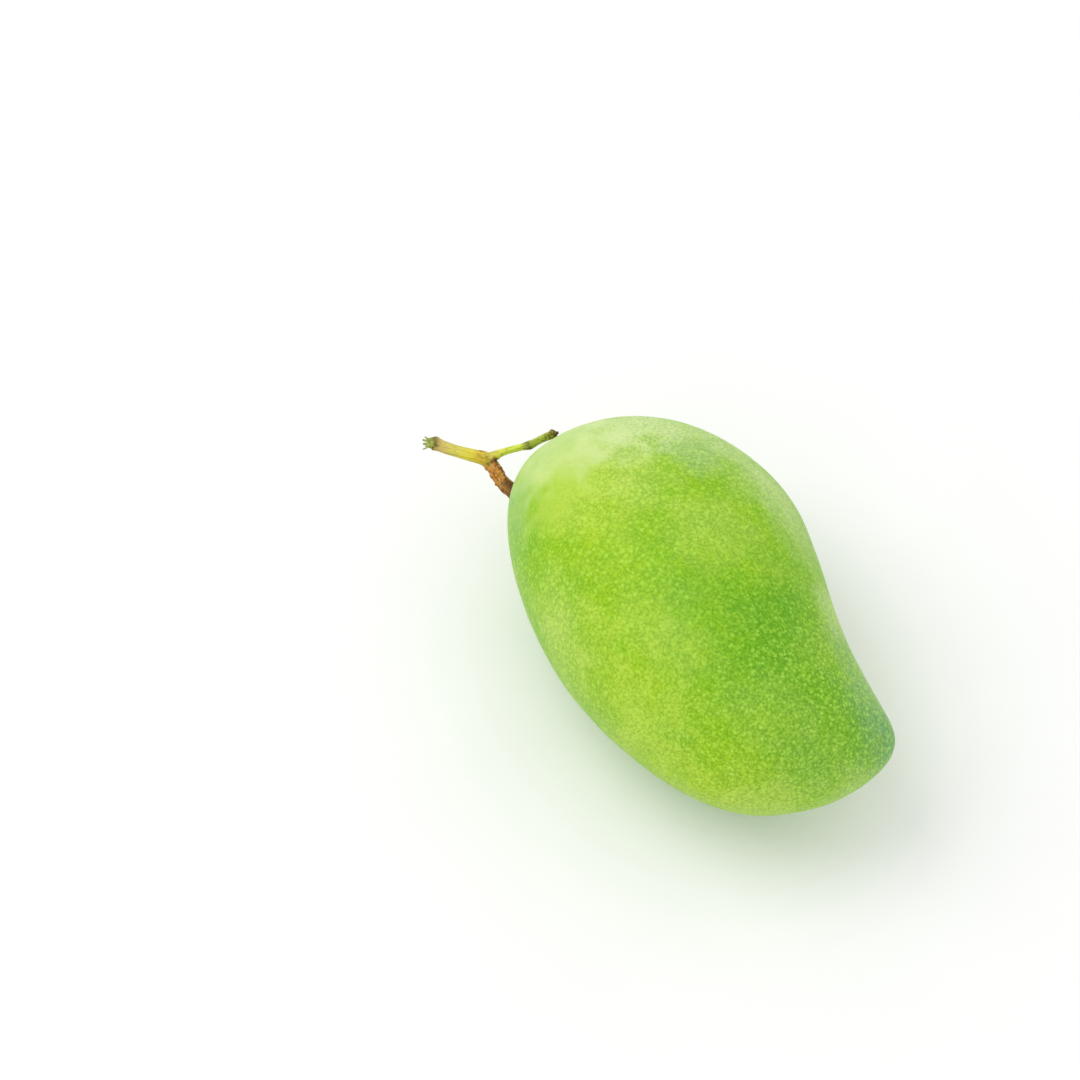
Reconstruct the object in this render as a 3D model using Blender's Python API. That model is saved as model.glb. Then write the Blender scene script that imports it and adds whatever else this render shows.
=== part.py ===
"""A green mango as picked, lying on its cheek, with the forked stalk that it grew on.

Units are metres. The origin is the middle of the small flat spot that the fruit rests on. +X runs
from the stalk end to the beak, +Y points to the hollow side, which the beak hooks towards, and +Z
is up.
"""

import math

import bmesh
import bpy
import numpy as np
from mathutils import Matrix, Vector

MM = 0.001

# Fruit, in millimetres. Each section gives its distance from the stalk end, then the reach from
# the long axis to the hollow side and to the back, and half the thickness through the cheeks.
FRUIT_LENGTH = 140
SECTIONS = (
    (4, 14, 15, 15),
    (18, 33, 27, 28),
    (42, 43, 39.5, 36),
    (72, 39.5, 46, 38),
    (102, 22.5, 44, 32),
    (122, 14, 35.5, 23.5),
    (133, 10.5, 23, 15),
    (138, 7, 13.5, 8),
)
REST_FROM_STALK_END = 65
REST_FROM_AXIS = -2
AXIS_HEIGHT = 37.4
BASIN_RADIUS = 8
BASIN_DEPTH = 1.2
RIBS = 88
RINGS = 58

# Stalk, in millimetres. The stalk leaves its socket along -X. Each point of a route is x, y, z
# and the diameter there.
SOCKET_MOUTH = (-62.6, -8, 35)
SOCKET_DEPTH = 3.2
SOCKET_DIAMETER = 4.8
STALK_GAP = 0.3
STALK_ROUTE = (
    (-64.5, -8, 35, 4.3),
    (-67.5, -8, 34.5, 4.1),
    (-70.5, -7.5, 35, 4.0),
    (-74.5, -6.5, 35.5, 4.2),
    (-77, -6.5, 36, 4.6),
    (-79.5, -8, 36.5, 4.1),
    (-84, -11.5, 38, 3.7),
    (-88.5, -14.5, 39.5, 3.8),
    (-89.8, -15.5, 40.2, 4.5),
    (-90.5, -16.3, 40.5, 3.3),
    (-91.5, -17.5, 40.6, 2.8),
)
TWIG_ROUTE = (
    (-76.5, -5, 36.5, 2.8),
    (-74.3, -0.6, 37.4, 2.2),
    (-71.7, 3.3, 38.3, 2.2),
    (-70.5, 5, 38.7, 2.9),
    (-69.4, 7, 39.7, 2.3),
    (-67.4, 10.6, 41.4, 2.6),
    (-66.5, 12.2, 42, 2.3),
)
# Places on the stalk and twig where a bud or a side stalk has dropped off, with their widths
BUD_SCARS = (
    (-75.2, -4, 37.2, 2.4),
    (-82, -9.8, 36, 2.2),
    (-67.9, 9.2, 42, 1.8),
    (-67.2, 11.2, 42.8, 1.7),
    (-66.3, 11.2, 40.6, 1.6),
)

SKIN_COLOUR = (0.30, 0.56, 0.05, 1)
BARK_COLOUR = (0.47, 0.33, 0.07, 1)


def clear_scene():
    for item in list(bpy.data.objects):
        bpy.data.objects.remove(item, do_unlink=True)


def new_collection(name):
    collection = bpy.data.collections.new(name)
    bpy.context.scene.collection.children.link(collection)
    return collection


def principled(name, colour, roughness):
    material = bpy.data.materials.new(name)
    material.use_nodes = True
    shader = material.node_tree.nodes["Principled BSDF"]
    shader.inputs["Base Color"].default_value = colour
    shader.inputs["Roughness"].default_value = roughness
    shader.inputs["Metallic"].default_value = 0.0
    return material


def object_from_bmesh(bm, name, collection):
    bmesh.ops.recalc_face_normals(bm, faces=bm.faces)
    mesh = bpy.data.meshes.new(name)
    bm.to_mesh(mesh)
    bm.free()
    made = bpy.data.objects.new(name, mesh)
    collection.objects.link(made)
    return made


def smooth_curve(places, values):
    """Return the natural cubic spline that passes through the values at the places."""
    gaps = np.diff(places)
    slopes = np.diff(values) / gaps
    system = np.eye(len(places))
    turns = np.zeros(len(places))
    for i in range(1, len(gaps)):
        system[i, i - 1 : i + 2] = gaps[i - 1], 2 * (gaps[i - 1] + gaps[i]), gaps[i]
        turns[i] = 6 * (slopes[i] - slopes[i - 1])
    bends = np.linalg.solve(system, turns)

    def value(at):
        i = np.clip(np.searchsorted(places, at) - 1, 0, len(gaps) - 1)
        gap = gaps[i]
        after = at - places[i]
        before = places[i + 1] - at
        cubic = (bends[i] * before**3 + bends[i + 1] * after**3) / (6 * gap)
        start = (values[i] / gap - bends[i] * gap / 6) * before
        end = (values[i + 1] / gap - bends[i + 1] * gap / 6) * after
        return cubic + start + end

    return value


def fruit_skin(sphere):
    """Move the points of a unit sphere, with its poles on X, to the skin. Values are in metres.

    A point's place between the poles, from 0 to 1, picks its section. The sections are divided by
    the sphere's own radius there, so that both ends close as round as the sphere does.
    """
    along, hollow, back, cheek = np.array(SECTIONS, float).T
    places = np.arccos(1 - 2 * along / FRUIT_LENGTH) / math.pi
    radius = np.sin(math.pi * places)
    middle = smooth_curve(places, (hollow - back) / 2)
    height = smooth_curve(places, (hollow + back) / 2 / radius)
    thickness = smooth_curve(places, cheek / radius)

    place = np.arccos(np.clip(-sphere[:, 0], -1, 1)) / math.pi
    x = FRUIT_LENGTH * (1 + sphere[:, 0]) / 2 - REST_FROM_STALK_END
    y = middle(place) + height(place) * sphere[:, 1] - REST_FROM_AXIS
    z = thickness(place) * sphere[:, 2] + AXIS_HEIGHT

    from_stalk = np.hypot(y - SOCKET_MOUTH[1], z - SOCKET_MOUTH[2])
    basin = BASIN_DEPTH * np.exp(-((from_stalk / BASIN_RADIUS) ** 2))
    x += np.where(x < 0, basin, 0)
    return np.stack([x, y, z], axis=1) * MM


def make_fruit(collection):
    bm = bmesh.new()
    bmesh.ops.create_uvsphere(bm, u_segments=RIBS, v_segments=RINGS, radius=1)
    bmesh.ops.rotate(bm, verts=bm.verts, matrix=Matrix.Rotation(math.pi / 2, 3, "Y"))
    sphere = np.array([vert.co for vert in bm.verts])
    for vert, place in zip(bm.verts, fruit_skin(sphere)):
        vert.co = place
    return object_from_bmesh(bm, "fruit", collection)


def make_tube(name, route, collection):
    """Make a closed mesh of round section along a smooth curve through the route."""
    curve = bpy.data.curves.new(name, "CURVE")
    curve.dimensions = "3D"
    curve.resolution_u = 5
    curve.bevel_depth = MM / 2
    curve.bevel_resolution = 4
    curve.use_fill_caps = True
    spline = curve.splines.new("BEZIER")
    spline.bezier_points.add(len(route) - 1)
    for point, (x, y, z, diameter) in zip(spline.bezier_points, route):
        point.co = Vector((x, y, z)) * MM
        point.radius = diameter
        point.handle_left_type = "AUTO"
        point.handle_right_type = "AUTO"
    guide = bpy.data.objects.new(name + " guide", curve)
    collection.objects.link(guide)

    evaluated = guide.evaluated_get(bpy.context.evaluated_depsgraph_get())
    mesh = bpy.data.meshes.new_from_object(evaluated)
    bm = bmesh.new()
    bm.from_mesh(mesh)
    bmesh.ops.remove_doubles(bm, verts=bm.verts, dist=0.01 * MM)
    tube = object_from_bmesh(bm, name, collection)
    tube.matrix_world = guide.matrix_world
    bpy.data.objects.remove(guide, do_unlink=True)
    bpy.data.meshes.remove(mesh)
    return tube


def make_bud_scar(place, width, collection):
    bm = bmesh.new()
    bmesh.ops.create_uvsphere(bm, u_segments=12, v_segments=8, radius=width / 2 * MM)
    scar = object_from_bmesh(bm, "bud_scar", collection)
    scar.location = Vector(place) * MM
    return scar


def make_stalk(collection, cutters):
    x, y, z = SOCKET_MOUTH
    foot = (x + SOCKET_DEPTH - STALK_GAP, y, z, SOCKET_DIAMETER - 2 * STALK_GAP)
    mouth = (x, y, z, SOCKET_DIAMETER - 2 * STALK_GAP)
    stalk = make_tube("stem", (foot, mouth) + STALK_ROUTE, collection)
    joined = [make_tube("twig", TWIG_ROUTE, cutters)]
    joined += [make_bud_scar(scar[:3], scar[3], cutters) for scar in BUD_SCARS]
    for piece in joined:
        boolean(stalk, piece, "UNION")
    return stalk


def make_rest_cutter(collection):
    """Make a block whose top is the plane that the fruit rests on."""
    bm = bmesh.new()
    bmesh.ops.create_cube(bm, size=FRUIT_LENGTH * MM)
    bmesh.ops.translate(bm, verts=bm.verts, vec=(0, 0, -FRUIT_LENGTH * MM / 2))
    return object_from_bmesh(bm, "rest_cutter", collection)


def make_socket_cutter(collection):
    """Make the round hole that holds the stalk's foot, open past the skin."""
    length = 4 * SOCKET_DEPTH
    bm = bmesh.new()
    bmesh.ops.create_cone(
        bm,
        cap_ends=True,
        segments=32,
        radius1=SOCKET_DIAMETER / 2 * MM,
        radius2=SOCKET_DIAMETER / 2 * MM,
        depth=length * MM,
    )
    bmesh.ops.rotate(bm, verts=bm.verts, matrix=Matrix.Rotation(math.pi / 2, 3, "Y"))
    cutter = object_from_bmesh(bm, "socket_cutter", collection)
    x, y, z = SOCKET_MOUTH
    cutter.location = Vector((x + SOCKET_DEPTH - length / 2, y, z)) * MM
    return cutter


def boolean(target, tool, operation):
    modifier = target.modifiers.new(operation.lower(), "BOOLEAN")
    modifier.operation = operation
    modifier.solver = "EXACT"
    modifier.object = tool
    tool.hide_render = True
    tool.display_type = "WIRE"


def shade_round(piece):
    piece.data.shade_smooth()
    piece.data.set_sharp_from_angle(angle=math.radians(35))


def main():
    clear_scene()
    parts = new_collection("mango")
    cutters = new_collection("cutters")

    fruit = make_fruit(parts)
    boolean(fruit, make_rest_cutter(cutters), "DIFFERENCE")
    boolean(fruit, make_socket_cutter(cutters), "DIFFERENCE")
    fruit.data.materials.append(principled("skin", SKIN_COLOUR, 0.45))
    shade_round(fruit)

    stalk = make_stalk(parts, cutters)
    stalk.data.materials.append(principled("bark", BARK_COLOUR, 0.75))
    shade_round(stalk)


main()
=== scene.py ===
"""A green mango as picked, lying on its cheek: waxy speckled skin and a forked woody stalk.

Lengths are in millimetres and become metres where a mesh, lamp or camera takes them. The frame is
the part's own: +X from the stalk end to the beak, +Y to the hollow side, +Z up, and z = 0 is the
surface that the fruit rests on.
"""

import math

import bmesh
import bpy
import numpy as np
from mathutils import Matrix, Vector, kdtree, noise


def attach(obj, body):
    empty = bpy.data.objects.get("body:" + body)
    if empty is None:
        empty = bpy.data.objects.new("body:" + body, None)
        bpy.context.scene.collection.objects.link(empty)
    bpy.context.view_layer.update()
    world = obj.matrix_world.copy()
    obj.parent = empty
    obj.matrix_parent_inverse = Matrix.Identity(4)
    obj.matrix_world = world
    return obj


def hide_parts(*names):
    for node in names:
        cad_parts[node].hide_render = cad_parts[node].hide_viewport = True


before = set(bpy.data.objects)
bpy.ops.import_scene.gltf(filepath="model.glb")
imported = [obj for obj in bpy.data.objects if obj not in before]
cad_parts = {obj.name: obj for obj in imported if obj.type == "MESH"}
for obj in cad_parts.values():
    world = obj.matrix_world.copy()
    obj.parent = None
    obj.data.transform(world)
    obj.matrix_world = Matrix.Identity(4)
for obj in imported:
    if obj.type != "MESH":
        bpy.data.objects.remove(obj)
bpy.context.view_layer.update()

MM = 0.001

# The fruit, as in the part's source. Each section gives its distance from the stalk end, then the
# reach from the long axis to the hollow side and to the back, and half the thickness.
FRUIT_LENGTH = 140
SECTIONS = (
    (4, 14, 15, 15),
    (18, 33, 27, 28),
    (42, 43, 39.5, 36),
    (72, 39.5, 46, 38),
    (102, 22.5, 44, 32),
    (122, 14, 35.5, 23.5),
    (133, 10.5, 23, 15),
    (138, 7, 13.5, 8),
)
REST_FROM_STALK_END = 65
REST_FROM_AXIS = -2
AXIS_HEIGHT = 37.4
SKIN_RIBS = 320
SKIN_RINGS = 230
# Soft lumps of the skin: height and size
SKIN_LUMPS = ((0.3, 26), (0.1, 9), (0.03, 3.4))
# The shallow basin where the stalk enters, with pleats round it and a low collar at the stalk
STALK_FOOT = (-62.6, -8, 35)
BASIN_RADIUS = 8
BASIN_DEPTH = 1.2
PLEATS = 5
PLEAT_HEIGHT = 0.16
PLEAT_TURN = 0.7
PLEATS_FULL_AT = 3
COLLAR_HEIGHT = 0.5
COLLAR_RADIUS = 3.1
COLLAR_WIDTH = 0.8
BEAK_SCAR = (73.5, 7.5, 37.4)
BEAK_SCAR_DEPTH = 0.22
BEAK_SCAR_WIDTH = 1.1

# The stalk, as in the part's source: x, y, z and the diameter at each point. Its foot stands in
# the fruit.
FOOT_DEPTH = 2.9
STALK_ROUTE = (
    (-62.6 + FOOT_DEPTH, -8, 35, 4.2),
    (-62.6, -8, 35, 5.0),
    (-64.5, -8, 35, 4.4),
    (-67.5, -8, 34.5, 4.1),
    (-70.5, -7.5, 35, 4.0),
    (-74.5, -6.5, 35.5, 4.1),
    (-77, -6.5, 36, 4.4),
    (-79.5, -8, 36.5, 4.0),
    (-84, -11.5, 38, 3.6),
    (-88.5, -14.5, 39.5, 3.7),
    (-89.8, -15.5, 40.2, 4.4),
    (-90.4, -16.2, 40.5, 3.2),
    (-91.2, -17.1, 40.6, 2.7),
)
TWIG_ROUTE = (
    (-76.5, -5, 36.5, 2.8),
    (-74.3, -0.6, 37.4, 2.1),
    (-71.7, 3.3, 38.3, 2.0),
    (-70.5, 5, 38.7, 2.8),
    (-69.4, 7, 39.7, 2.1),
    (-67.4, 10.6, 41.4, 2.4),
    (-66.5, 12.2, 42, 2.0),
)
# Swollen scars of old buds: x, y, z and width
BUD_SCARS = (
    (-75.0, -4, 37.4, 2.4),
    (-82, -9.8, 36, 2.0),
    (-67.9, 9.2, 42, 1.8),
    (-67.2, 11.2, 42.8, 1.7),
    (-66.3, 11.2, 40.6, 1.6),
)
FORK_FROM_FRUIT = 13
ROUTE_STEP = 0.4
BARK_GRAIN = 0.12
BARK_RIDGE_HEIGHT = 0.16
BARK_ROUGHNESS = 0.03
GOLDEN_ANGLE = 2.39996

# The bark is corky from the fruit to CORK_LENGTH and turns smooth over about CORK_FADE.
CORK_LENGTH = 12
CORK_FADE = 1.2
CORK_RELIEF = 0.5
CORK_CRACK_DEPTH = 0.15
CORK_KNOBS = 26
CORK_KNOB_WIDTH = 1.6
CORK_KNOBS_FROM = 1.5
TWIG_SCALES = 22
TWIG_SCALE_WIDTH = 1.25
TWIG_TIP_LENGTH = 6

# Torn fibres of the cut end. They lean out more, in radians a millimetre, towards the rim.
SPLINTERS = 16
SPLINTER_RING = 1.2
SPLINTER_SHORTEST = 0.8
SPLINTER_LONGER_AT_RIM = 0.4
SPLINTER_UNEVEN = 1.2
SPLINTER_ROOT = 0.26
SPLINTER_TIP = 0.12
SPLINTER_LEAN = 0.42
SPLINTER_SUNK = 0.7

# The camera looks down on the fruit as in the photograph, from straight ahead of the beak's hook.
CAMERA_AZIMUTH = 46
CAMERA_ELEVATION = 58
CAMERA_DISTANCE = 866
CAMERA_AIM = (-41.1, -18.9, 45.9)
CAMERA_LENS = 100
CAMERA_SENSOR = 36

# The table lies just under the fruit, and the light is a white sky with one soft lamp at the left.
TABLE_HALF_SIDE = 4000
TABLE_DROP = 0.05
SKY_STRENGTH = 0.88
LAMP_AZIMUTH = -60
LAMP_ELEVATION = 57
LAMP_DISTANCE = 1600
LAMP_SIZE = 1200
LAMP_WATTS = 7


def linear(red, green, blue):
    """Turn a colour as the eye reads it, 0 to 255, into the shader's linear values."""
    parts = [value / 255 for value in (red, green, blue)]
    return (*[c / 12.92 if c <= 0.04045 else ((c + 0.055) / 1.055) ** 2.4 for c in parts], 1)


# Shapes


def smooth_curve(places, values):
    """Return the natural cubic spline that passes through the values at the places."""
    gaps = np.diff(places)
    slopes = np.diff(values) / gaps
    system = np.eye(len(places))
    turns = np.zeros(len(places))
    for i in range(1, len(gaps)):
        system[i, i - 1 : i + 2] = gaps[i - 1], 2 * (gaps[i - 1] + gaps[i]), gaps[i]
        turns[i] = 6 * (slopes[i] - slopes[i - 1])
    bends = np.linalg.solve(system, turns)

    def value(at):
        i = np.clip(np.searchsorted(places, at) - 1, 0, len(gaps) - 1)
        gap = gaps[i]
        after = at - places[i]
        before = places[i + 1] - at
        cubic = (bends[i] * before**3 + bends[i + 1] * after**3) / (6 * gap)
        start = (values[i] / gap - bends[i] * gap / 6) * before
        end = (values[i + 1] / gap - bends[i + 1] * gap / 6) * after
        return cubic + start + end

    return value


def unit_sphere(ribs, rings):
    """Return the points and faces of a unit sphere with its poles on X, from -X to +X."""
    turn = 2 * math.pi * np.arange(ribs) / ribs
    slope = math.pi * np.arange(1, rings) / rings
    x = np.repeat(-np.cos(slope), ribs)
    y = np.outer(np.sin(slope), np.cos(turn)).ravel()
    z = np.outer(np.sin(slope), np.sin(turn)).ravel()
    points = np.concatenate([np.stack([x, y, z], axis=1), [(-1, 0, 0), (1, 0, 0)]])

    faces = []
    first_pole, last_pole = len(points) - 2, len(points) - 1
    last_ring = first_pole - ribs
    for rib in range(ribs):
        beside = (rib + 1) % ribs
        faces.append((first_pole, beside, rib))
        for ring in range(0, last_ring, ribs):
            faces.append((ring + rib, ring + beside, ring + ribs + beside, ring + ribs + rib))
        faces.append((last_pole, last_ring + rib, last_ring + beside))
    return points, faces


def fruit_skin(sphere):
    """Move the points of a unit sphere, with its poles on X, to the skin."""
    along, hollow, back, cheek = np.array(SECTIONS, float).T
    places = np.arccos(1 - 2 * along / FRUIT_LENGTH) / math.pi
    radius = np.sin(math.pi * places)
    middle = smooth_curve(places, (hollow - back) / 2)
    height = smooth_curve(places, (hollow + back) / 2 / radius)
    thickness = smooth_curve(places, cheek / radius)

    place = np.arccos(np.clip(-sphere[:, 0], -1, 1)) / math.pi
    x = FRUIT_LENGTH * (1 + sphere[:, 0]) / 2 - REST_FROM_STALK_END
    y = middle(place) + height(place) * sphere[:, 1] - REST_FROM_AXIS
    z = thickness(place) * sphere[:, 2] + AXIS_HEIGHT
    return np.stack([x, y, z], axis=1)


def object_from_bmesh(bm, name):
    bmesh.ops.recalc_face_normals(bm, faces=bm.faces)
    mesh = bpy.data.meshes.new(name)
    bm.to_mesh(mesh)
    bm.free()
    mesh.shade_smooth()
    made = bpy.data.objects.new(name, mesh)
    bpy.context.scene.collection.objects.link(made)
    return made


def lumps(place, size):
    """Soft noise from -1 to 1 whose lumps are about size millimetres across."""
    return noise.noise(Vector(place) / size)


def bell(distance, width):
    """Fall softly from 1 at no distance to nearly 0 beyond twice the width."""
    return math.exp(-((distance / width) ** 2))


def basin_swell(away):
    """Return how far the skin rises beside the stalk's foot, for the pleated basin and collar."""
    distance = away.length
    pleats = PLEAT_HEIGHT * math.sin(PLEATS * math.atan2(away.z, away.y) + PLEAT_TURN)
    depth = BASIN_DEPTH + pleats * min(1, distance / PLEATS_FULL_AT)
    collar = COLLAR_HEIGHT * bell(distance - COLLAR_RADIUS, COLLAR_WIDTH)
    return collar - depth * bell(distance, BASIN_RADIUS)


def make_fruit():
    """Make the skin with its lumps, the basin at the stalk and the scar at the beak."""
    points, faces = unit_sphere(SKIN_RIBS, SKIN_RINGS)
    smooth = bpy.data.meshes.new("smooth_skin")
    smooth.from_pydata(fruit_skin(points), [], faces)
    bm = bmesh.new()
    bm.from_mesh(smooth)
    bpy.data.meshes.remove(smooth)
    bm.normal_update()

    foot = Vector(STALK_FOOT)
    scar = Vector(BEAK_SCAR)
    moved = []
    for vert in bm.verts:
        place = vert.co
        swell = sum(height * lumps(place, size) for height, size in SKIN_LUMPS)
        if place.x < foot.x + 3 * BASIN_RADIUS:
            away = place - foot
            away.x = 0
            swell += basin_swell(away)
        swell -= BEAK_SCAR_DEPTH * bell((place - scar).length, BEAK_SCAR_WIDTH)
        moved.append(place + vert.normal * swell)
    for vert, place in zip(bm.verts, moved):
        place.z = max(place.z, 0)
        vert.co = place * MM
    return object_from_bmesh(bm, "fruit_skin")


def route_line(route, begins):
    """Return points about ROUTE_STEP apart on the smooth line through the route.

    Each has its x, y, z, diameter and distance from the fruit along the stalk.
    """
    route = np.array(route, float)
    spans = np.linalg.norm(np.diff(route[:, :3], axis=0), axis=1)
    along = np.concatenate([[0], np.cumsum(spans)])
    at = np.linspace(0, along[-1], int(along[-1] / ROUTE_STEP) + 1)
    line = [smooth_curve(along, route[:, column])(at) for column in range(3)]
    diameters = np.interp(at, along, route[:, 3])
    return np.stack([*line, diameters, at + begins], axis=1)


def tube_mesh(line):
    """Make a closed tube of round section along the line."""
    curve = bpy.data.curves.new("route", "CURVE")
    curve.dimensions = "3D"
    curve.bevel_depth = MM / 2
    curve.bevel_resolution = 10
    curve.use_fill_caps = True
    spline = curve.splines.new("POLY")
    spline.points.add(len(line) - 1)
    for point, (x, y, z, diameter, _) in zip(spline.points, line):
        point.co = (x * MM, y * MM, z * MM, 1)
        point.radius = diameter
    guide = bpy.data.objects.new("route", curve)
    bpy.context.scene.collection.objects.link(guide)
    evaluated = guide.evaluated_get(bpy.context.evaluated_depsgraph_get())
    mesh = bpy.data.meshes.new_from_object(evaluated)
    bpy.data.objects.remove(guide, do_unlink=True)
    return mesh


def add_ball(bm, place, width):
    made = bmesh.ops.create_uvsphere(bm, u_segments=16, v_segments=10, radius=width / 2 * MM)
    bmesh.ops.translate(bm, verts=made["verts"], vec=Vector(place) * MM)


def add_bumps(bm, line, first, last, count, width):
    """Scatter small bumps round the line, between two distances from the fruit."""
    stretch = line[(line[:, 4] > first) & (line[:, 4] < last)]
    for i in range(count):
        x, y, z, diameter, _ = stretch[int((i + 0.5) / count * len(stretch))]
        turn = i * GOLDEN_ANGLE
        aside = Vector((0.5 * math.cos(turn), 0.85 * math.cos(turn), math.sin(turn)))
        size = width * (0.75 + 0.5 * abs(math.sin(5.1 * i)))
        add_ball(bm, Vector((x, y, z)) + aside * (diameter / 2 - 0.28 * size), size)


def add_splinters(bm, line):
    """Add the torn fibres that stand on the cut end, a ring of them and some within it."""
    end = Vector(line[-1, :3])
    ahead = (end - Vector(line[-4, :3])).normalized()
    turn = ahead.to_track_quat("Z", "Y").to_matrix()
    for i in range(SPLINTERS):
        angle = i * GOLDEN_ANGLE
        out = SPLINTER_RING * math.sqrt((i + 0.5) / SPLINTERS)
        uneven = SPLINTER_UNEVEN * math.sin(3.7 * i + 1) ** 2
        reach = SPLINTER_SHORTEST + SPLINTER_LONGER_AT_RIM * out + uneven
        made = bmesh.ops.create_cone(
            bm,
            cap_ends=True,
            segments=8,
            radius1=SPLINTER_ROOT * MM,
            radius2=SPLINTER_TIP * MM,
            depth=reach * MM,
        )
        rim = Vector((math.cos(angle), math.sin(angle), 0)) * out
        root = rim - Vector((0, 0, SPLINTER_SUNK))
        hinge = Vector((-math.sin(angle), math.cos(angle), 0))
        lean = Matrix.Rotation(SPLINTER_LEAN * out, 3, hinge)
        for vert in made["verts"]:
            raised = lean @ (vert.co + Vector((0, 0, reach / 2 * MM)))
            vert.co = turn @ (raised + root * MM) + end * MM


def fuse(bm, name, grain):
    """Melt the overlapping shapes into one skin with soft joints."""
    rough = object_from_bmesh(bm, name)
    remesh = rough.modifiers.new("fuse", "REMESH")
    remesh.mode = "VOXEL"
    remesh.voxel_size = grain * MM
    soften = rough.modifiers.new("soften", "SMOOTH")
    soften.factor = 0.5
    soften.iterations = 3
    evaluated = rough.evaluated_get(bpy.context.evaluated_depsgraph_get())
    mesh = bpy.data.meshes.new_from_object(evaluated)
    bpy.data.objects.remove(rough, do_unlink=True)
    fused = bmesh.new()
    fused.from_mesh(mesh)
    bpy.data.meshes.remove(mesh)
    return fused


def roughen_bark(bm, stalk_line, twig_line):
    """Raise bark ridges that follow the stalk, and knobs with cracks between where it is corky.

    Three attributes go with the mesh for the bark's colours: how far along the stalk a point is,
    whether it is on the twig, and a place for the grain that is drawn out along the stalk.
    """
    line = np.concatenate([stalk_line, twig_line])
    finder = kdtree.KDTree(len(line))
    for i, sample in enumerate(line):
        finder.insert(Vector(sample[:3]), i)
    finder.balance()

    along_layer = bm.verts.layers.float.new("along")
    twig_layer = bm.verts.layers.float.new("twig")
    grain_layer = bm.verts.layers.float_vector.new("grain")
    bm.normal_update()
    moved = []
    for vert in bm.verts:
        place = vert.co / MM
        centre, i, _ = finder.find(place)
        spoke = place - centre
        on_twig = i >= len(stalk_line)
        along = line[i, 4]
        vert[along_layer] = along
        vert[twig_layer] = float(on_twig)
        vert[grain_layer] = spoke + Vector((along, along, along)) * 0.09

        corky = 0 if on_twig else 1 / (1 + math.exp((along - CORK_LENGTH) / CORK_FADE))
        way = Vector((0, 0, along * 0.35))
        ridge = noise.noise(spoke * 1.6 + Vector((along, 0, 0)) * 0.12)
        knob = abs(noise.noise(spoke * 0.75 + way)) + 0.5 * abs(noise.noise(spoke * 1.7 + way * 2))
        cork = corky * (CORK_RELIEF * knob - CORK_CRACK_DEPTH)
        swell = BARK_RIDGE_HEIGHT * ridge + BARK_ROUGHNESS * lumps(place, 0.5) + cork
        moved.append((place + vert.normal * swell) * MM)
    for vert, place in zip(bm.verts, moved):
        vert.co = place


def make_stalk():
    stalk_line = route_line(STALK_ROUTE, -FOOT_DEPTH)
    twig_line = route_line(TWIG_ROUTE, FORK_FROM_FRUIT)
    bm = bmesh.new()
    for line in (stalk_line, twig_line):
        mesh = tube_mesh(line)
        bm.from_mesh(mesh)
        bpy.data.meshes.remove(mesh)
    for x, y, z, width in BUD_SCARS:
        add_ball(bm, (x, y, z), width)
    add_bumps(bm, stalk_line, CORK_KNOBS_FROM, CORK_LENGTH, CORK_KNOBS, CORK_KNOB_WIDTH)
    tip = twig_line[-1, 4]
    add_bumps(bm, twig_line, tip - TWIG_TIP_LENGTH, tip, TWIG_SCALES, TWIG_SCALE_WIDTH)
    add_splinters(bm, stalk_line)
    bmesh.ops.remove_doubles(bm, verts=bm.verts, dist=0.005 * MM)
    fused = fuse(bm, "stalk_rough", BARK_GRAIN)
    roughen_bark(fused, stalk_line, twig_line)
    return object_from_bmesh(fused, "stalk_bark")


# Materials


def add_node(tree, kind, inputs=None, **settings):
    """Add a node. An input takes a value, or another node's output, which is linked to it."""
    made = tree.nodes.new(kind)
    for name, value in settings.items():
        setattr(made, name, value)
    for name, value in (inputs or {}).items():
        if isinstance(value, bpy.types.NodeSocket):
            tree.links.new(value, made.inputs[name])
        else:
            made.inputs[name].default_value = value
    return made


def maths(tree, operation, first, second):
    made = add_node(tree, "ShaderNodeMath", {0: first, 1: second}, operation=operation)
    return made.outputs[0]


def blend(tree, share, first, second, kind="MIX"):
    """Mix two colours, all of the second where the share is 1."""
    made = add_node(tree, "ShaderNodeMix", data_type="RGBA", blend_type=kind)
    for place, value in ((0, share), (6, first), (7, second)):
        if isinstance(value, bpy.types.NodeSocket):
            tree.links.new(value, made.inputs[place])
        else:
            made.inputs[place].default_value = value
    return made.outputs[2]


def fade(tree, value, clear, full):
    """Turn a value into a mask: 0 at clear and beyond, 1 at full and beyond, soft between."""
    made = add_node(
        tree,
        "ShaderNodeMapRange",
        {"Value": value, "From Min": clear, "From Max": full},
        interpolation_type="SMOOTHSTEP",
    )
    return made.outputs["Result"]


def new_group(name, inputs):
    """Start a group that puts out a mask, with floats as inputs, or vectors for three numbers.

    Return its tree, what it is given and the place on the object in millimetres.
    """
    tree = bpy.data.node_groups.new(name, "ShaderNodeTree")
    for label, default in inputs.items():
        kind = "NodeSocketVector" if isinstance(default, tuple) else "NodeSocketFloat"
        socket = tree.interface.new_socket(name=label, in_out="INPUT", socket_type=kind)
        socket.default_value = default
    tree.interface.new_socket(name="Mask", in_out="OUTPUT", socket_type="NodeSocketFloat")
    given = tree.nodes.new("NodeGroupInput").outputs
    place = add_node(tree, "ShaderNodeTexCoord").outputs["Object"]
    millimetres = add_node(tree, "ShaderNodeVectorMath", {0: place}, operation="SCALE")
    millimetres.inputs["Scale"].default_value = 1 / MM
    return tree, given, millimetres.outputs[0]


def end_group(tree, mask):
    tree.links.new(mask, tree.nodes.new("NodeGroupOutput").inputs[0])
    return tree


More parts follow.
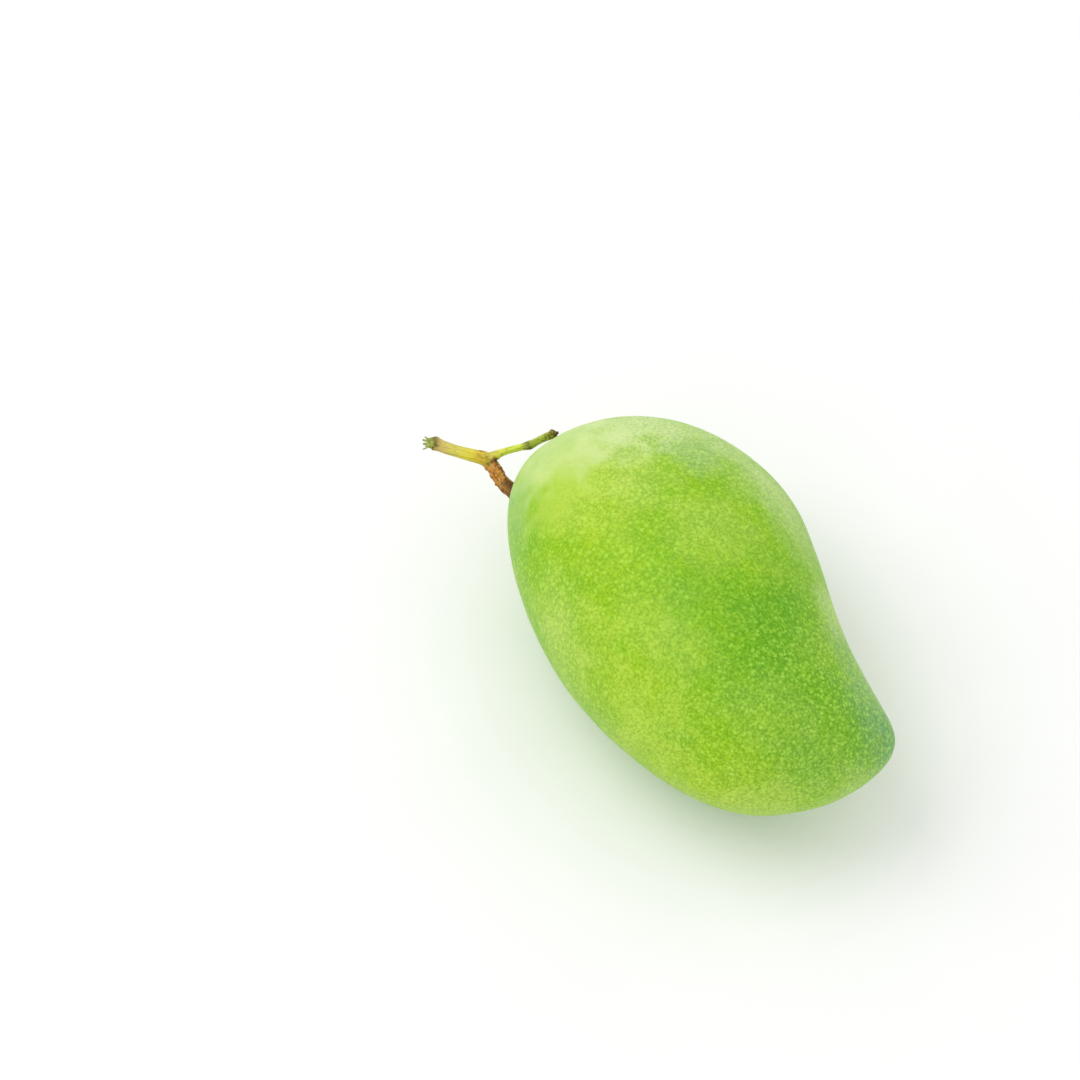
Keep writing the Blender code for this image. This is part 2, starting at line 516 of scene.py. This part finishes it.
def make_soft_patch():
    """A patch round a place, 1 inside the radius and fading over the edge. Wander bends its rim."""
    tree, given, place = new_group(
        "soft patch", {"Centre": (0.0, 0.0, 0.0), "Radius": 5.0, "Edge": 5.0, "Wander": 2.0}
    )
    drift = add_node(tree, "ShaderNodeTexNoise", {"Vector": place, "Scale": 0.12, "Detail": 2.0})
    centred = maths(tree, "SUBTRACT", drift.outputs["Fac"], 0.5)
    shift = maths(tree, "MULTIPLY", centred, maths(tree, "MULTIPLY", given["Wander"], 4.0))
    away = add_node(
        tree, "ShaderNodeVectorMath", {0: place, 1: given["Centre"]}, operation="DISTANCE"
    ).outputs["Value"]
    return end_group(
        tree,
        fade(
            tree,
            maths(tree, "ADD", away, shift),
            maths(tree, "ADD", given["Radius"], given["Edge"]),
            given["Radius"],
        ),
    )


def make_mottle():
    """Cloudy patches. Low and High are where the clouds start and where they are full."""
    tree, given, place = new_group(
        "mottle", {"Size": 20.0, "Detail": 3.0, "Low": 0.4, "High": 0.6, "Offset": 0.0}
    )
    offset = add_node(tree, "ShaderNodeCombineXYZ", {0: given["Offset"], 1: given["Offset"]})
    moved = add_node(tree, "ShaderNodeVectorMath", {0: place, 1: offset.outputs[0]})
    clouds = add_node(
        tree,
        "ShaderNodeTexNoise",
        {
            "Vector": moved.outputs[0],
            "Scale": maths(tree, "DIVIDE", 1.0, given["Size"]),
            "Detail": given["Detail"],
            "Roughness": 0.5,
        },
    )
    return end_group(tree, fade(tree, clouds.outputs["Fac"], given["Low"], given["High"]))


def make_specks():
    """Small soft dots of mixed sizes, the spacing apart. Bare is the share that is left out."""
    tree, given, place = new_group(
        "specks", {"Spacing": 1.6, "Radius": 0.1, "Edge": 0.5, "Bare": 0.2}
    )
    cells = add_node(
        tree,
        "ShaderNodeTexVoronoi",
        {
            "Vector": place,
            "Scale": maths(tree, "DIVIDE", 1.0, given["Spacing"]),
            "Randomness": 1.0,
        },
    )
    chance = add_node(tree, "ShaderNodeSeparateColor", {"Color": cells.outputs["Color"]})
    size = add_node(
        tree, "ShaderNodeMapRange", {"Value": chance.outputs[1], "To Min": 0.6, "To Max": 1.35}
    )
    away = maths(tree, "MULTIPLY", cells.outputs["Distance"], given["Spacing"])
    away = maths(tree, "DIVIDE", away, size.outputs["Result"])
    dot = fade(tree, away, maths(tree, "ADD", given["Radius"], given["Edge"]), given["Radius"])
    shown = maths(tree, "GREATER_THAN", chance.outputs[0], given["Bare"])
    return end_group(tree, maths(tree, "MULTIPLY", dot, shown))


def use_group(tree, group, inputs):
    made = add_node(tree, "ShaderNodeGroup", node_tree=group)
    for name, value in inputs.items():
        made.inputs[name].default_value = value
    return made.outputs["Mask"]


def patches(tree, places):
    """Return one mask of several soft patches, each x, y, z, radius, edge and share."""
    bare = None
    for x, y, z, radius, edge, share in places:
        patch = use_group(
            tree,
            SOFT_PATCH,
            {"Centre": (x, y, z), "Radius": radius, "Edge": edge, "Wander": PATCH_WANDER * edge},
        )
        left = maths(tree, "SUBTRACT", 1.0, maths(tree, "MULTIPLY", patch, share))
        bare = left if bare is None else maths(tree, "MULTIPLY", bare, left)
    return maths(tree, "SUBTRACT", 1.0, bare)


def paint(tree, colour, mask, share, over):
    """Lay a second colour over the first where the mask is."""
    return blend(tree, maths(tree, "MULTIPLY", mask, share), colour, over)


def stain(tree, colour, mask, share, tint):
    """Darken a colour where the mask is, as a thin wash of the tint would."""
    return blend(tree, maths(tree, "MULTIPLY", mask, share), colour, tint, "MULTIPLY")


def along_ramp(tree, along, stops):
    """Colour by the distance in millimetres along the stalk."""
    first, last = stops[0][0], stops[-1][0]
    part = add_node(
        tree, "ShaderNodeMapRange", {"Value": along, "From Min": first, "From Max": last}
    )
    made = add_node(tree, "ShaderNodeValToRGB", {"Fac": part.outputs["Result"]})
    ramp = made.color_ramp
    ramp.interpolation = "EASE"
    for i, (place, tint) in enumerate(stops):
        position = (place - first) / (last - first)
        if i in (0, len(stops) - 1):
            stop = ramp.elements[0 if i == 0 else -1]
            stop.position = position
        else:
            stop = ramp.elements.new(position)
        stop.color = tint
    return made.outputs["Color"]


def new_material(name):
    material = bpy.data.materials.new(name)
    material.use_nodes = True
    return material, material.node_tree, material.node_tree.nodes["Principled BSDF"]


def finish_surface(tree, shader, colour, roughness, height, distance):
    """Give the shader its colour, its roughness and a relief as deep as the distance."""
    bump = add_node(tree, "ShaderNodeBump", {"Height": height})
    bump.inputs["Strength"].default_value = 1.0
    bump.inputs["Distance"].default_value = distance * MM
    tree.links.new(colour, shader.inputs["Base Color"])
    tree.links.new(roughness, shader.inputs["Roughness"])
    tree.links.new(bump.outputs["Normal"], shader.inputs["Normal"])


LIME = linear(143, 195, 12)
LEAF_GREEN = linear(101, 171, 26)
YELLOW = linear(184, 213, 32)
HAZE = linear(194, 219, 102)
BLOOM = linear(210, 228, 158)
COOL_GREEN = linear(108, 168, 122)
LENTICEL = linear(184, 230, 86)
GAP_TINT = (0.5, 0.68, 0.4, 1)
RUSSET = linear(112, 84, 40)
SHEEN_TINT = linear(226, 244, 210)

# Clouds of the skin, from the first to the last laid on: the inputs of mottle, share and colour
SKIN_CLOUDS = (
    ({"Size": 26, "Detail": 4, "Low": 0.4, "High": 0.7}, 0.28, LEAF_GREEN),
    ({"Size": 9, "Detail": 4, "Low": 0.4, "High": 0.7, "Offset": 31}, 0.28, YELLOW),
    ({"Size": 6, "Detail": 4, "Low": 0.5, "High": 0.72, "Offset": 17}, 0.14, LEAF_GREEN),
    ({"Size": 12, "Detail": 5, "Low": 0.46, "High": 0.72, "Offset": 7}, 0.22, HAZE),
)
# Specks of the skin: wide ones towards the stalk, and close and fine ones towards the beak
WIDE_SPECKS = {"Spacing": 1.6, "Radius": 0.08, "Edge": 0.8, "Bare": 0}
CLOSE_SPECKS = {"Spacing": 1.32, "Radius": 0.06, "Edge": 0.68, "Bare": 0}
FINE_SPECKS = {"Spacing": 1.0, "Radius": 0.04, "Edge": 0.46, "Bare": 0.3}
LARGE_SPECKS = {"Spacing": 4.4, "Radius": 0.15, "Edge": 0.35, "Bare": 0.4}
SPECK_GRAIN = {"Size": 0.75, "Detail": 2, "Low": 0.36, "High": 0.64}
ALL_WIDE_BEFORE_X = -10
ALL_CLOSE_AFTER_X = 50
SPECK_RELIEF = 0.04

# Soft patches of the skin: x, y, z, radius, edge and share
PATCH_WANDER = 0.34
DEEP_PATCHES = (
    (37, -11, 69, 5, 17, 0.55),
    (28, 1, 71, 4, 13, 0.5),
    (31, 13, 65, 3, 11, 0.35),
    (14, -12, 74, 3, 12, 0.3),
    (47, -15, 65, 5, 16, 0.22),
    (46, 5, 62, 4, 13, 0.35),
    (63, -12, 57, 7, 18, 0.5),
    (72, 2, 45, 5, 14, 0.5),
    (-42, -26, 49, 4, 12, 0.18),
    (4, 40, 30, 9, 24, 0.5),
    (-20, -10, 4, 12, 26, 0.6),
    (40, -46, 16, 7, 18, 0.45),
)
YELLOW_PATCHES = (
    (-18, -17, 70, 5, 16, 0.2),
    (-27, -22, 64, 4, 12, 0.2),
    (-24, -8, 72, 4, 13, 0.3),
    (-39, -4, 68, 9, 16, 0.6),
    (-7, -27, 66, 3, 10, 0.2),
    (6, -27, 68, 3, 9, 0.25),
    (9, -45, 43, 4, 12, 0.2),
    (0, -38, 56, 4, 13, 0.35),
    (20, -39, 55, 5, 14, 0.5),
    (28, -44, 39, 5, 14, 0.5),
    (47, -38, 46, 5, 15, 0.35),
    (44, -41, 34, 5, 14, 0.6),
    (61, -32, 34, 5, 16, 0.5),
    (-30, 40, 26, 7, 18, 0.5),
    (30, 20, 10, 6, 20, 0.4),
)
HAZE_PATCHES = (
    (-39, -7, 67, 7, 15, 0.34),
    (-33, -1, 71, 3, 10, 0.2),
    (-23, 3, 74, 3, 13, 0.5),
    (-19, 20, 71, 3, 10, 0.22),
    (1, 5, 76, 4, 14, 0.35),
    (-18, -34, 55, 3, 13, 0.38),
    (-10, -40, 46, 4, 13, 0.42),
    (1, -37, 58, 3, 11, 0.15),
    (9, -44, 43, 5, 14, 0.18),
    (6, -27, 68, 3, 10, 0.18),
    (20, -25, 69, 3, 12, 0.26),
    (28, -41, 50, 4, 15, 0.25),
    (50, -20, 63, 4, 13, 0.2),
    (46, 5, 63, 3, 10, 0.15),
    (61, -31, 36, 4, 14, 0.42),
)
BLOOM_PATCHES = (
    (-54, 3, 60, 8, 16, 0.55),
    (-56, -8, 54, 5, 14, 0.19),
    (-52, -20, 46, 4, 12, 0.12),
    (-46, 17, 63, 5, 15, 0.68),
    (-38, 24, 64, 5, 14, 0.84),
    (-40, 8, 69, 4, 12, 0.24),
    (-37, 8, 70, 3, 7, 0.26),
    (-31, 29, 64, 3, 13, 0.42),
    (-23, 23, 69, 3, 11, 0.24),
    (-17, 34, 61, 4, 12, 0.5),
    (-5, 29, 67, 3, 11, 0.25),
    (2, 34, 61, 4, 12, 0.5),
    (14, 29, 61, 3, 12, 0.35),
    (37, 20, 55, 3, 10, 0.48),
    (49, 12, 55, 3, 10, 0.15),
    (62, 10, 49, 3, 12, 0.25),
    (66, -16, 50, 4, 13, 0.1),
    (72, 2, 44, 3, 10, 0.14),
    (73, -10, 37, 3, 10, 0.3),
    (-60, 10, 26, 8, 20, 0.5),
    (20, 30, 20, 6, 18, 0.4),
)
SMOOTH_SHOULDER = ((-52, -4, 60, 12, 18, 0.85),)
COOL_PATCHES = (
    (74, 8, 42, 3, 12, 0.5),
    (62, 11, 48, 4, 12, 0.36),
    (50, 14, 52, 3, 10, 0.2),
    (62, 2, 54, 3, 11, 0.18),
    (-21, 23, 69, 3, 9, 0.17),
    (-53, -18, 48, 4, 10, 0.17),
)


def make_skin_material():
    """Waxy green skin: cloudy greens, pale bloom, close pale specks and darker gaps between."""
    material, tree, shader = new_material("mango_skin")
    colour = LIME
    for cloud, share, tint in SKIN_CLOUDS:
        colour = paint(tree, colour, use_group(tree, MOTTLE, cloud), share, tint)
    colour = paint(tree, colour, patches(tree, DEEP_PATCHES), 1, LEAF_GREEN)
    colour = paint(tree, colour, patches(tree, YELLOW_PATCHES), 1, YELLOW)
    colour = paint(tree, colour, patches(tree, HAZE_PATCHES), 1, HAZE)
    bloom = patches(tree, BLOOM_PATCHES)
    colour = paint(tree, colour, bloom, 1, BLOOM)
    colour = paint(tree, colour, patches(tree, COOL_PATCHES), 1, COOL_GREEN)

    place = add_node(tree, "ShaderNodeTexCoord").outputs["Object"]
    along_x = add_node(tree, "ShaderNodeSeparateXYZ", {"Vector": place}).outputs["X"]
    towards_beak = fade(tree, along_x, ALL_WIDE_BEFORE_X * MM, ALL_CLOSE_AFTER_X * MM)
    clean = maths(tree, "SUBTRACT", 1.0, patches(tree, SMOOTH_SHOULDER))
    stronger = add_node(
        tree, "ShaderNodeMapRange", {"Value": towards_beak, "To Min": 1.15, "To Max": 1.32}
    ).outputs["Result"]
    strong = maths(tree, "MULTIPLY", clean, stronger)

    wide = use_group(tree, SPECKS, WIDE_SPECKS)
    close = use_group(tree, SPECKS, CLOSE_SPECKS)
    near = add_node(
        tree, "ShaderNodeMix", {"Factor": towards_beak, "A": wide, "B": close}
    ).outputs["Result"]
    fine = maths(tree, "MULTIPLY", use_group(tree, SPECKS, FINE_SPECKS), towards_beak)
    grain = use_group(tree, MOTTLE, SPECK_GRAIN)
    gaps = maths(
        tree, "MULTIPLY", maths(tree, "SUBTRACT", 1.0, near), maths(tree, "SUBTRACT", 1.0, grain)
    )
    colour = stain(tree, colour, maths(tree, "MULTIPLY", gaps, strong), 0.58, GAP_TINT)
    grain_share = add_node(tree, "ShaderNodeMapRange", {"Value": grain, "To Min": 0.45})
    tops = maths(tree, "MULTIPLY", near, grain_share.outputs["Result"])
    colour = paint(tree, colour, maths(tree, "MULTIPLY", tops, strong), 0.48, LENTICEL)
    colour = paint(tree, colour, maths(tree, "MULTIPLY", fine, clean), 0.44, LENTICEL)
    large = use_group(tree, SPECKS, LARGE_SPECKS)
    colour = paint(tree, colour, large, 0.4, LENTICEL)
    colour = paint(tree, colour, patches(tree, ((*BEAK_SCAR, 0.3, 1.3, 0.7),)), 1, RUSSET)
    colour = paint(tree, colour, patches(tree, ((*STALK_FOOT, 2.4, 1.8, 0.8),)), 1, RUSSET)

    roughness = add_node(
        tree, "ShaderNodeMapRange", {"Value": bloom, "To Min": 0.46, "To Max": 0.62}
    ).outputs["Result"]
    raised = maths(tree, "SUBTRACT", maths(tree, "ADD", near, large), gaps)
    finish_surface(tree, shader, colour, roughness, raised, SPECK_RELIEF)
    shader.inputs["Specular IOR Level"].default_value = 0.2
    shader.inputs["Sheen Weight"].default_value = 0.12
    shader.inputs["Sheen Roughness"].default_value = 0.35
    shader.inputs["Sheen Tint"].default_value = SHEEN_TINT
    shader.inputs["Subsurface Weight"].default_value = 0.06
    shader.inputs["Subsurface Radius"].default_value = (0.6, 1.0, 0.2)
    shader.inputs["Subsurface Scale"].default_value = 1.5 * MM
    return material


# Bark colours by the distance from the fruit along the stalk, and along the twig
STALK_COLOURS = (
    # The two darkest stops, at the fruit, are painted shade where the stalk goes down into the
    # basin.
    (0, linear(88, 50, 24)),
    (1.4, linear(128, 76, 32)),
    (3.0, linear(202, 134, 44)),
    (8, linear(212, 140, 38)),
    (11.5, linear(200, 128, 36)),
    (13.2, linear(182, 160, 30)),
    (16.5, linear(224, 194, 40)),
    (20, linear(238, 224, 66)),
    (25, linear(230, 218, 98)),
    (29, linear(224, 198, 118)),
    (30.5, linear(206, 178, 100)),
    (31.1, linear(112, 94, 36)),
    (31.6, linear(92, 88, 30)),
    (32.1, linear(158, 178, 74)),
    (34.5, linear(196, 214, 122)),
)
TWIG_COLOURS = (
    (13, linear(216, 204, 78)),
    (17, linear(230, 242, 78)),
    (22, linear(228, 246, 82)),
    (23.6, linear(160, 176, 48)),
    (24.6, linear(104, 116, 28)),
    (26.2, linear(170, 192, 50)),
    (30, linear(186, 204, 66)),
    (32.5, linear(164, 166, 58)),
    (34, linear(96, 78, 36)),
)
CORK_RED = linear(108, 46, 16)
# Pale orange for the painted highlights on the cork
CORK_HIGHLIGHT = linear(238, 190, 128)
BARK_BROWN = linear(158, 112, 44)
# A dark colour for the bark's dots and the twig's dirty tip, and for painted shade in the creases
DARK_BARK_AND_SHADE = linear(84, 60, 24)
# A pale colour for the bark's pale grain and for the painted light on the upper side, and an olive
# for painted shade
PALE_BARK_AND_LIGHT = linear(240, 226, 146)
SHADE_OLIVE = linear(124, 122, 46)

# Painted shade darkening the creases at the fork and the nodes: x, y, z, radius, edge and share
CREASE_SHADE = (
    (-74.1, -5.3, 37.4, 0.4, 0.8, 0.9),
    (-74.4, -6.6, 37.6, 0.2, 0.7, 0.8),
    (-74.8, -7.8, 37.2, 0.2, 0.7, 0.6),
    (-66, -8, 36.8, 1.2, 1.6, 0.6),
    (-79.2, -6.6, 37.8, 0.3, 0.7, 0.7),
    (-69.9, 4.6, 38, 0.5, 0.9, 0.6),
    (-66.8, 10.4, 40.6, 0.5, 0.9, 0.8),
)

# Marks of the bark, with painted highlights on the cork and painted shade on the torn cut end, as
# the inputs of mottle and specks
BLOTCHES = {"Size": 1.7, "Detail": 3, "Low": 0.54, "High": 0.66, "Offset": 3}
CORK_SCALES = {"Size": 1.2, "Detail": 3, "Low": 0.55, "High": 0.66}
CORK_HIGHLIGHT_FLECKS = {"Size": 1.1, "Detail": 2, "Low": 0.56, "High": 0.68, "Offset": 5}
BARK_DOTS = {"Spacing": 1.1, "Radius": 0.08, "Edge": 0.16, "Bare": 0.55}
CUT_END_SHADE = {"Size": 0.8, "Detail": 2, "Low": 0.46, "High": 0.56, "Offset": 13}
TIP_DIRT = {"Size": 0.9, "Detail": 3, "Low": 0.48, "High": 0.6, "Offset": 9}
BARK_RELIEF = 0.09


def make_bark_material():
    """Straw-yellow bark, brown and cracked near the fruit, green along the twig."""
    material, tree, shader = new_material("stalk_bark")
    along = add_node(tree, "ShaderNodeAttribute", attribute_name="along").outputs["Fac"]
    on_twig = add_node(tree, "ShaderNodeAttribute", attribute_name="twig").outputs["Fac"]
    grain = add_node(tree, "ShaderNodeAttribute", attribute_name="grain").outputs["Vector"]
    on_stalk = maths(tree, "SUBTRACT", 1.0, on_twig)
    waver = add_node(tree, "ShaderNodeTexNoise", {"Vector": grain, "Scale": 0.9, "Detail": 3.0})
    uneven = add_node(
        tree, "ShaderNodeMapRange", {"Value": waver.outputs["Fac"], "To Min": -1.8, "To Max": 1.8}
    )
    blurred = maths(tree, "ADD", along, uneven.outputs["Result"])
    colour = blend(
        tree,
        on_twig,
        along_ramp(tree, blurred, STALK_COLOURS),
        along_ramp(tree, blurred, TWIG_COLOURS),
    )

    # Painted light and shade: the upper side is painted paler, as if lit from above. The underside
    # is painted darker olive as shade, with the fruit's green reflected in it.
    normal = add_node(tree, "ShaderNodeNewGeometry").outputs["Normal"]
    facing_up = add_node(tree, "ShaderNodeSeparateXYZ", {"Vector": normal}).outputs["Z"]
    lit_top = fade(tree, facing_up, 0.3, 1.0)
    shaded_underside = fade(tree, facing_up, 0.2, -0.6)
    colour = paint(tree, colour, lit_top, 0.12, PALE_BARK_AND_LIGHT)
    colour = paint(tree, colour, shaded_underside, 0.45, SHADE_OLIVE)

    streaks = add_node(tree, "ShaderNodeTexNoise", {"Vector": grain, "Scale": 2.6, "Detail": 5.0})
    dark_streaks = fade(tree, streaks.outputs["Fac"], 0.52, 0.72)
    pale_streaks = fade(tree, streaks.outputs["Fac"], 0.46, 0.3)
    colour = paint(tree, colour, dark_streaks, 0.65, BARK_BROWN)
    colour = paint(tree, colour, pale_streaks, 0.4, PALE_BARK_AND_LIGHT)
    blotches = use_group(tree, MOTTLE, BLOTCHES)
    near_fork = fade(tree, blurred, 22.0, 14.0)
    colour = paint(tree, colour, maths(tree, "MULTIPLY", blotches, near_fork), 0.6, BARK_BROWN)

    corky = maths(tree, "MULTIPLY", fade(tree, blurred, CORK_LENGTH + 1, CORK_LENGTH - 2), on_stalk)
    scales = use_group(tree, MOTTLE, CORK_SCALES)
    fissures = add_node(tree, "ShaderNodeTexNoise", {"Vector": grain, "Scale": 1.5, "Detail": 4.0})
    fissures = fade(tree, fissures.outputs["Fac"], 0.52, 0.6)
    cracks = maths(tree, "MULTIPLY", maths(tree, "MAXIMUM", scales, fissures), corky)
    colour = paint(tree, colour, cracks, 0.78, CORK_RED)
    # Pale flecks on the cork are painted highlights.
    highlight_flecks = use_group(tree, MOTTLE, CORK_HIGHLIGHT_FLECKS)
    colour = paint(tree, colour, maths(tree, "MULTIPLY", highlight_flecks, corky), 0.7, CORK_HIGHLIGHT)

    # Painted shade in the creases at the fork and the nodes.
    colour = paint(tree, colour, patches(tree, CREASE_SHADE), 1, DARK_BARK_AND_SHADE)
    colour = paint(tree, colour, use_group(tree, SPECKS, BARK_DOTS), 0.4, DARK_BARK_AND_SHADE)
    # Dark olive patches on the torn cut end are painted shade between the fibres.
    torn = use_group(tree, MOTTLE, CUT_END_SHADE)
    cut_end = maths(tree, "MULTIPLY", fade(tree, along, 31.0, 31.8), on_stalk)
    colour = paint(tree, colour, maths(tree, "MULTIPLY", torn, cut_end), 0.7, SHADE_OLIVE)
    tip_dirt = use_group(tree, MOTTLE, TIP_DIRT)
    tip = maths(tree, "MULTIPLY", fade(tree, along, 24.0, 31.0), on_twig)
    colour = paint(tree, colour, maths(tree, "MULTIPLY", tip_dirt, tip), 0.6, DARK_BARK_AND_SHADE)

    roughness = add_node(
        tree, "ShaderNodeMapRange", {"Value": dark_streaks, "To Min": 0.62, "To Max": 0.82}
    ).outputs["Result"]
    height = maths(tree, "SUBTRACT", pale_streaks, maths(tree, "ADD", dark_streaks, cracks))
    finish_surface(tree, shader, colour, roughness, height, BARK_RELIEF)
    shader.inputs["Specular IOR Level"].default_value = 0.25
    return material


TABLE_WHITE = linear(250, 250, 250)
TABLE_WHITEST = linear(252, 252, 252)


def make_table_material():
    """Matt white with the faintest clouds."""
    material, tree, shader = new_material("white_table")
    clouds = use_group(tree, MOTTLE, {"Size": 60, "Detail": 2, "Low": 0.3, "High": 0.7})
    colour = blend(tree, clouds, TABLE_WHITE, TABLE_WHITEST)
    tree.links.new(colour, shader.inputs["Base Color"])
    shader.inputs["Roughness"].default_value = 0.9
    return material


# Stage, light and camera


def outward(azimuth, elevation):
    """The direction from the object to a viewer at these angles, in degrees."""
    turn, rise = math.radians(azimuth), math.radians(elevation)
    flat = math.cos(rise)
    return Vector((math.sin(turn) * flat, -math.cos(turn) * flat, math.sin(rise)))


def add_table():
    bm = bmesh.new()
    bmesh.ops.create_grid(bm, x_segments=1, y_segments=1, size=TABLE_HALF_SIDE * MM)
    table = object_from_bmesh(bm, "table")
    table.location.z = -TABLE_DROP * MM
    table.data.materials.append(make_table_material())


def hold(thing, aim, direction, distance):
    """Put a lamp or camera at a distance from the place that it aims at, and turn it there."""
    holder = bpy.data.objects.new(thing.name, thing)
    bpy.context.scene.collection.objects.link(holder)
    holder.location = (Vector(aim) + direction * distance) * MM
    holder.rotation_euler = (-direction).to_track_quat("-Z", "Y").to_euler()
    return holder


def add_light():
    world = bpy.data.worlds.new("studio")
    bpy.context.scene.world = world
    world.use_nodes = True
    sky = world.node_tree.nodes["Background"]
    sky.inputs["Color"].default_value = (1, 1, 1, 1)
    sky.inputs["Strength"].default_value = SKY_STRENGTH
    lamp = bpy.data.lights.new("key", "AREA")
    lamp.shape = "DISK"
    lamp.size = LAMP_SIZE * MM
    lamp.energy = LAMP_WATTS
    hold(lamp, (0, 0, 0), outward(LAMP_AZIMUTH, LAMP_ELEVATION), LAMP_DISTANCE)


def add_camera():
    camera = bpy.data.cameras.new("camera")
    camera.lens = CAMERA_LENS
    camera.sensor_width = CAMERA_SENSOR
    direction = outward(CAMERA_AZIMUTH, CAMERA_ELEVATION)
    bpy.context.scene.camera = hold(camera, CAMERA_AIM, direction, CAMERA_DISTANCE)


SOFT_PATCH = make_soft_patch()
MOTTLE = make_mottle()
SPECKS = make_specks()

fruit = make_fruit()
fruit.data.materials.append(make_skin_material())
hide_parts("fruit")
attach(fruit, "root")

stalk = make_stalk()
stalk.data.materials.append(make_bark_material())
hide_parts("stem")
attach(stalk, "root")

add_table()
add_light()
add_camera()
bpy.context.scene.view_settings.view_transform = "Standard"
